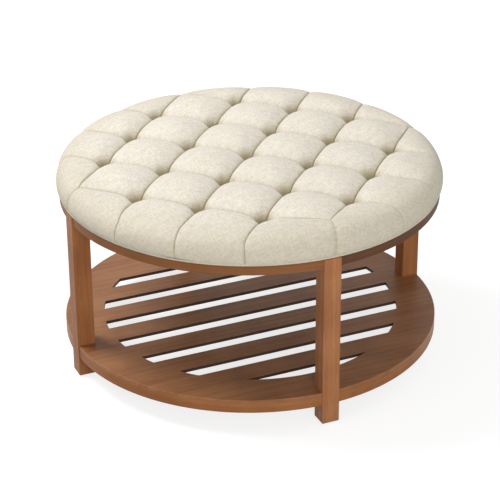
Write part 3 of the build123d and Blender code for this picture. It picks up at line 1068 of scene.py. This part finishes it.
@dataclass
class Press:
    """The stuffing's press on the slightly slack cloth, as a cloth simulation."""

    held_below: float = 386.0
    held_gain: float = 3.0
    free_below: float = 0.5
    slack_share: float = 0.02
    pressure: float = 4.0
    frames: int = 16
    quality: int = 5
    mass: float = 0.3
    pull_stiffness: float = 25.0
    shear_stiffness: float = 8.0
    bending_stiffness: float = 0.5
    cap: float = 6.0
    evening_rounds: int = 14
    evening_shares: Span = (0.3, 0.7)

    def fill_out(self, piece: Piece) -> None:
        """Presses the cloth out between its held pleats.

        Args:
            piece: The cover's cloth, which keeps its pleats, pits and hem where they are.
        """
        start = points_of(piece)
        count = len(start)
        fold_shade_share = np.zeros(count, dtype=np.float32)
        piece.data.attributes["fold_shade"].data.foreach_get("value", fold_shade_share)
        pinned = np.clip(fold_shade_share * self.held_gain, 0.0, 1.0)
        normals = np.zeros(count * 3, dtype=np.float32)
        piece.data.vertex_normals.foreach_get("vector", normals)
        outward = normals.reshape(-1, 3)
        self.simulate(piece, np.where(start[:, 2] < self.held_below * MM, 1.0, pinned))
        move = points_of(piece) - start
        move -= outward * np.minimum(np.sum(move * outward, axis=1, keepdims=True), 0.0)
        move = self.evened(piece, move, pinned < self.free_below)
        length = np.linalg.norm(move, axis=1, keepdims=True)
        log.info("stuffing press: up to %.1f mm, %.1f mm on average", length.max() / MM, length.mean() / MM)
        move *= np.minimum(1.0, self.cap * MM / np.maximum(length, 1e-9))
        piece.data.vertices.foreach_set("co", (start + move.astype(np.float32)).ravel())
        piece.data.update()

    def simulate(self, piece: Piece, held: Array) -> None:
        """Runs the cloth simulation and applies its result.

        Args:
            piece: The cover's cloth.
            held: How firmly each point is held, from 0 to 1.
        """
        held = np.round(held, 1)
        group = piece.vertex_groups.new(name="held")
        for weight in np.unique(held):
            group.add(np.flatnonzero(held == weight).tolist(), float(weight), "REPLACE")
        modifier = piece.modifiers.new("stuffing_press", "CLOTH")
        settings = modifier.settings
        settings.quality = self.quality
        settings.mass = self.mass
        settings.tension_stiffness = self.pull_stiffness
        settings.compression_stiffness = self.pull_stiffness
        settings.shear_stiffness = self.shear_stiffness
        settings.bending_stiffness = self.bending_stiffness
        settings.shrink_min = -self.slack_share
        settings.use_pressure = True
        settings.uniform_pressure_force = self.pressure
        settings.vertex_group_mass = group.name
        settings.effector_weights.gravity = 0.0
        modifier.collision_settings.use_collision = False
        scene = bpy.context.scene
        for step in range(1, self.frames + 1):
            scene.frame_set(step)
        make_active(piece)
        bpy.ops.object.modifier_apply(modifier=modifier.name)
        scene.frame_set(1)
        piece.vertex_groups.clear()

    def evened(self, piece: Piece, move: Array, free: Array) -> Array:
        """Spreads the cloth's moves over their neighbours.

        Args:
            piece: The cover's cloth.
            move: Each point's move.
            free: Which points may change theirs.

        Returns:
            The evened moves.
        """
        edges = np.zeros(len(piece.data.edges) * 2, dtype=np.int32)
        piece.data.edges.foreach_get("vertices", edges)
        ends = edges.reshape(-1, 2)
        number = np.bincount(edges, minlength=len(move))[:, None]
        own, shared = self.evening_shares
        for _ in range(self.evening_rounds):
            total = np.zeros(move.shape, dtype=np.float64)
            np.add.at(total, ends[:, 0], move[ends[:, 1]])
            np.add.at(total, ends[:, 1], move[ends[:, 0]])
            move = np.where(free[:, None], own * move + shared * total / number, move)
        return move


@dataclass
class Cushion:
    """The tufted cushion: its linen cover, wadding, foam, covered buttons and welt."""

    cover_hem_level: float = 377.2
    stuffing_level: float = 391.5
    wadding_inset: float = 5.2
    foam_inset: float = 9.4
    foam_level: float = 392.6
    foam_rise: float = 10.5
    stuffing_cells: int = 16
    stuffing_gather: float = 0.5

    tuft_reach: float = 340.0
    tuft_steps: int = 3
    button_radius: float = 8.0
    button_level: float = 408.25
    button_squash: float = 0.62
    button_cut: float = 1.6
    button_segments: int = 24
    button_rings: int = 12

    welt_radius: float = 1.9
    welt_ring: float = 402.3
    welt_level: float = 378.9
    welt_segments: tuple[int, int] = (256, 12)
    welt_map_radius: float = 400.0
    welt_map_stretch: float = 2.0

    def cover(self) -> None:
        """Makes the linen cover."""
        layer = TuftedLayer("linen_cover", hem_level=self.cover_hem_level)
        piece = layer.surface()
        Press().fill_out(piece)
        apply_modifier(piece, "SUBSURF", levels=1, render_levels=1)
        layer.close(piece)
        piece.data.shade_smooth()
        dress(piece, LINEN)
        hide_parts("tufted_cover")
        log.info("linen cover: %d faces", len(piece.data.polygons))

    def stuffing(self) -> None:
        """Makes the wadding and the foam under the cover."""
        common = {
            "cells": self.stuffing_cells,
            "gather": self.stuffing_gather,
            "hem_level": self.stuffing_level,
            "tuck_depth": 0.0,
        }
        wadding = TuftedLayer("wadding_layer", self.wadding_inset, **common)
        foam = TuftedLayer(
            "foam_core", self.foam_inset, floor_level=self.foam_level, pillow_rise=self.foam_rise, **common
        )
        layers = ((wadding, FIBRE, "fibre", "wadding"), (foam, FOAM, "foam", "foam_pad"))
        for layer, finish, slot, node in layers:
            piece = layer.surface()
            layer.close(piece)
            piece.data.shade_smooth()
            dress(piece, finish)
            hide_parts(node)
            log.info("%s: %d faces", layer.name, len(piece.data.polygons))

    def tufts(self) -> list[tuple[float, float]]:
        """Places the buttons on every second point of a square lattice.

        Returns:
            Each button's X and Y.
        """
        steps = range(-self.tuft_steps, self.tuft_steps + 1)
        places = [(i * TUFT_PITCH, j * TUFT_PITCH) for i in steps for j in steps if (i + j) % 2 == 0]
        return [place for place in places if math.hypot(*place) <= self.tuft_reach]

    def buttons(self) -> None:
        """Models one covered button and sets a copy in each pit."""
        deselect_all()
        bpy.ops.mesh.primitive_uv_sphere_add(
            segments=self.button_segments, ring_count=self.button_rings, radius=self.button_radius * MM
        )
        model = bpy.context.active_object
        bpy.ops.object.mode_set(mode="EDIT")
        bpy.ops.mesh.select_all(action="SELECT")
        bpy.ops.transform.resize(value=(1.0, 1.0, self.button_squash))
        cut = (0.0, 0.0, -self.button_cut * MM)
        bpy.ops.mesh.bisect(plane_co=cut, plane_no=(0.0, 0.0, 1.0), use_fill=True, clear_inner=True)
        bpy.ops.mesh.select_all(action="DESELECT")
        bpy.ops.object.mode_set(mode="OBJECT")
        lowest = min(vertex.co.z for vertex in model.data.vertices)
        model.data.transform(Matrix.Translation((0.0, 0.0, self.button_level * MM - lowest)))
        copies = []
        for place in self.tufts():
            copy = bpy.data.objects.new("covered_button", model.data.copy())
            copy.data.transform(Matrix.Translation((place[0] * MM, place[1] * MM, 0.0)))
            bpy.context.collection.objects.link(copy)
            copies.append(copy)
        bpy.data.objects.remove(model)
        make_active(copies[0])
        for copy in copies:
            copy.select_set(True)
        bpy.ops.object.join()
        piece = bpy.context.active_object
        piece.name = "covered_buttons"
        piece.data.shade_smooth()
        map_cloth(piece, points_of(piece)[:, :2])
        dress(piece, LINEN)
        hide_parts("tuft_buttons")
        log.info("covered buttons: %d", len(copies))

    def welt(self) -> None:
        """Makes the narrow rolled edge of linen under the cushion's side."""
        deselect_all()
        bpy.ops.mesh.primitive_torus_add(
            major_segments=self.welt_segments[0],
            minor_segments=self.welt_segments[1],
            major_radius=self.welt_ring * MM,
            minor_radius=self.welt_radius * MM,
        )
        piece = bpy.context.active_object
        piece.name = "linen_welt"
        piece.data.transform(Matrix.Translation((0.0, 0.0, self.welt_level * MM)))
        piece.data.shade_smooth()
        x, y, z = points_of(piece).astype(float).T
        round_it = np.arctan2(y, x) * (self.welt_map_radius * MM)
        map_cloth(piece, np.stack([round_it, z * self.welt_map_stretch + np.hypot(x, y)], axis=1))
        dress(piece, LINEN)
        log.info("linen welt: %d faces", len(piece.data.polygons))


@dataclass
class DustCover:
    """The black cloth tacked across under the seat deck, sagging a little between the blocks."""

    radius: float = 388.0
    level: float = 376.5
    thickness: float = 0.4
    free_radius: float = 340.0
    sag: float = 3.0
    sag_power: float = 1.5
    ripple: float = 0.35
    ripple_lobes: float = 3.0
    ripple_runs: Span = (61.0, 37.0)
    rings: int = 26
    spokes: int = 120

    def points(self) -> Array:
        """Places the sheet's rings of points, and its middle last.

        Returns:
            The places in metres.
        """
        radii = np.linspace(0.0, self.radius, self.rings + 1)[1:]
        angles = np.arange(self.spokes) * 2.0 * math.pi / self.spokes
        out, turn = np.meshgrid(radii, angles, indexing="ij")
        free = np.clip(1.0 - (out / self.free_radius) ** 2, 0.0, 1.0)
        twist, wave = self.ripple_runs
        ripple = self.ripple * free * np.sin(self.ripple_lobes * turn + out / twist) * np.sin(out / wave)
        level = self.level - (self.sag * free**self.sag_power + ripple)
        rings = np.stack([out * np.cos(turn), out * np.sin(turn), level], axis=-1).reshape(-1, 3)
        return np.vstack([rings, [[0.0, 0.0, self.level - self.sag]]]) * MM

    def faces(self) -> list[list[int]]:
        """Joins each ring to the next and the first to the middle.

        Returns:
            The numbers of each face's points.
        """
        centre = self.rings * self.spokes
        faces: list[list[int]] = []
        for step in range(self.spokes):
            after = (step + 1) % self.spokes
            faces.append([centre, step, after])
            for ring in range(self.rings - 1):
                low, high = ring * self.spokes, (ring + 1) * self.spokes
                faces.append([low + step, high + step, high + after, low + after])
        return faces

    def build(self) -> None:
        """Makes the sheet and gives it its thickness."""
        piece = mesh_piece("black_dust_cover", self.points(), self.faces())
        apply_modifier(piece, "SOLIDIFY", thickness=self.thickness * MM, offset=0.0)
        piece.data.shade_smooth()
        dress(piece, BLACK_CLOTH)
        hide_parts("dust_cover")
        log.info("dust cover: %d faces", len(piece.data.polygons))


# The wood and the fittings


@dataclass
class Frame:
    """The wooden frame and its fittings, which keep their CAD forms."""

    def finishes(self) -> dict[str, Finish]:
        """Lists the finishes.

        Returns:
            The finish for the start of each CAD node's name.
        """
        groups = {
            LEG_WOOD: "leg_",
            # Painted light on the front leg, by a lighter copy of the leg wood
            LIT_LEG_WOOD: "leg_front",
            APRON_WOOD: "apron_rail",
            # Painted shade on the front right rail, by a darker copy of the apron wood
            SHADED_APRON_WOOD: "apron_rail_front_right",
            RAIL_WOOD: "shelf_rail",
            BOARD_WOOD: "shelf_board",
            BLOCK_WOOD_X: "apron_corner_block shelf_corner_block",
            BLOCK_WOOD_Y: "apron_corner_block_right apron_corner_block_left shelf_corner_block_right "
            "shelf_corner_block_left",
            DOWEL_WOOD: "rail_dowels",
            PLYWOOD: "seat_deck",
            TWINE: "tuft_twines",
            STEEL: "tuft_washers hanger_bolts bolt_ deck_screws apron_block_screws shelf_block_screws "
            "hem_staples",
            NYLON: "foot_glides",
        }
        return {start: finish for finish, starts in groups.items() for start in starts.split()}

    def dress(self) -> None:
        """Gives each CAD node that still shows its finish."""
        finishes = self.finishes()
        for name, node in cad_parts.items():
            starts = [start for start in finishes if name.startswith(start)]
            if not starts:
                continue
            finish = finishes[max(starts, key=len)]
            if not node.material_slots:
                node.data.materials.append(finish.material())
            for slot in node.material_slots:
                slot.material = finish.material()
            log.info("%s: %s", name, finish.name)


# The studio


@dataclass(frozen=True)
class Lamp:
    """One square soft lamp that points at the cushion, in degrees, metres and watts."""

    name: str
    azimuth: float
    elevation: float
    distance: float
    size: float
    power: float
    aim_level: float = 0.25

    def build(self) -> None:
        """Hangs the lamp."""
        data = bpy.data.lights.new(self.name, "AREA")
        data.shape = "SQUARE"
        data.size = self.size
        data.energy = self.power
        turn, rise = math.radians(self.azimuth), math.radians(self.elevation)
        back = Vector((math.cos(turn) * math.cos(rise), math.sin(turn) * math.cos(rise), math.sin(rise)))
        lamp = bpy.data.objects.new(self.name, data)
        lamp.location = back * self.distance + Vector((0.0, 0.0, self.aim_level))
        lamp.rotation_euler = back.to_track_quat("Z", "Y").to_euler()
        bpy.context.collection.objects.link(lamp)


@dataclass
class Studio:
    """The camera of the photograph, the lamps, the pale room and the floor."""

    azimuth: float = -23.6
    elevation: float = 26.885
    distance: float = 4035.7
    aim_level: float = 200.0
    tilt: float = 0.118
    roll: float = -0.354
    lens: float = 134.53
    sensor_width: float = 36.0
    lamps: tuple[Lamp, ...] = (
        Lamp("key_lamp", azimuth=138.0, elevation=52.0, distance=3.6, size=1.6, power=96.0),
        Lamp("front_lamp", azimuth=-98.0, elevation=13.0, distance=3.8, size=2.0, power=66.0),
        Lamp("left_lamp", azimuth=-165.0, elevation=12.0, distance=3.8, size=1.6, power=9.0),
        Lamp("right_lamp", azimuth=2.0, elevation=20.0, distance=3.8, size=1.8, power=15.0),
    )
    room_colour: Colour = (1.0, 0.99, 0.975)
    room_light: float = 0.34
    white: Colour = (1.0, 1.0, 1.0)
    floor_half: float = 14.0
    floor_grey: float = 0.34
    floor_roughness: float = 0.9
    floor_glow: float = 0.78

    def camera(self) -> None:
        """Sets the camera at the photograph's angle."""
        turn, rise = math.radians(self.azimuth), math.radians(self.elevation)
        back = Vector((math.sin(turn) * math.cos(rise), -math.cos(turn) * math.cos(rise), math.sin(rise)))
        right = Vector((math.cos(turn), math.sin(turn), 0.0))
        up = right.cross(-back).normalized()
        ahead = (-back + up * math.tan(math.radians(self.tilt))).normalized()
        right = ahead.cross(Vector((0.0, 0.0, 1.0))).normalized()
        up = right.cross(ahead)
        roll = math.radians(self.roll)
        own_right = right * math.cos(roll) + up * math.sin(roll)
        own_up = up * math.cos(roll) - right * math.sin(roll)
        data = bpy.data.cameras.new("camera")
        data.lens = self.lens
        data.sensor_width = self.sensor_width
        data.sensor_fit = "HORIZONTAL"
        camera = bpy.data.objects.new("camera", data)
        bpy.context.collection.objects.link(camera)
        place = Vector((0.0, 0.0, self.aim_level)) * MM + back * self.distance * MM
        turned = Matrix((own_right, own_up, -ahead)).transposed().to_4x4()
        camera.matrix_world = Matrix.Translation(place) @ turned
        bpy.context.scene.camera = camera

    def room(self) -> None:
        """Lights the pale room, which the camera sees as plain white."""
        world = bpy.data.worlds.new("room")
        bpy.context.scene.world = world
        world.use_nodes = True
        shader = Shader(world.node_tree)
        seen = shader.seen("Camera", "Glossy", "Transmission")
        skies = []
        for colour, strength in ((self.room_colour, self.room_light), (self.white, 1.0)):
            look = {"Color": (*colour, 1.0), "Strength": strength}
            skies.append(shader.node("ShaderNodeBackground", None, look).outputs[0])
        mixed = shader.node("ShaderNodeMixShader", None, {0: seen, 1: skies[0], 2: skies[1]})
        shader.node("ShaderNodeOutputWorld", None, {"Surface": mixed.outputs[0]})

    def floor(self) -> None:
        """Lays the white floor, which keeps the table's shadow."""
        deselect_all()
        bpy.ops.mesh.primitive_plane_add(size=2.0 * self.floor_half)
        floor = bpy.context.active_object
        floor.name = "studio_floor"
        material = bpy.data.materials.new("studio_white")
        material.use_nodes = True
        shader = Shader(material.node_tree)
        glowing = shader.seen("Camera", "Glossy") * self.floor_glow
        grey = (*dimmed(self.white, self.floor_grey), 1.0)
        look = {"Base Color": grey, "Roughness": self.floor_roughness}
        paint = shader.node("ShaderNodeBsdfPrincipled", None, look)
        glow = shader.node("ShaderNodeEmission", None, {"Color": (*self.white, 1.0), "Strength": glowing})
        both = shader.node("ShaderNodeAddShader", None, {0: paint.outputs[0], 1: glow.outputs[0]})
        shader.node("ShaderNodeOutputMaterial", None, {"Surface": both.outputs[0]})
        floor.data.materials.append(material)

    def build(self) -> None:
        """Sets up the whole studio."""
        self.camera()
        for lamp in self.lamps:
            lamp.build()
        self.room()
        self.floor()
        bpy.context.scene.view_settings.view_transform = "Standard"
        log.info("studio: %d lamps", len(self.lamps))


def main() -> None:
    """Builds the table's looks."""
    logging.basicConfig(level=logging.INFO, format="%(message)s")
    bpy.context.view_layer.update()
    Studio().build()
    cushion = Cushion()
    cushion.cover()
    cushion.stuffing()
    cushion.buttons()
    cushion.welt()
    DustCover().build()
    Frame().dress()


if __name__ == "__main__":
    main()
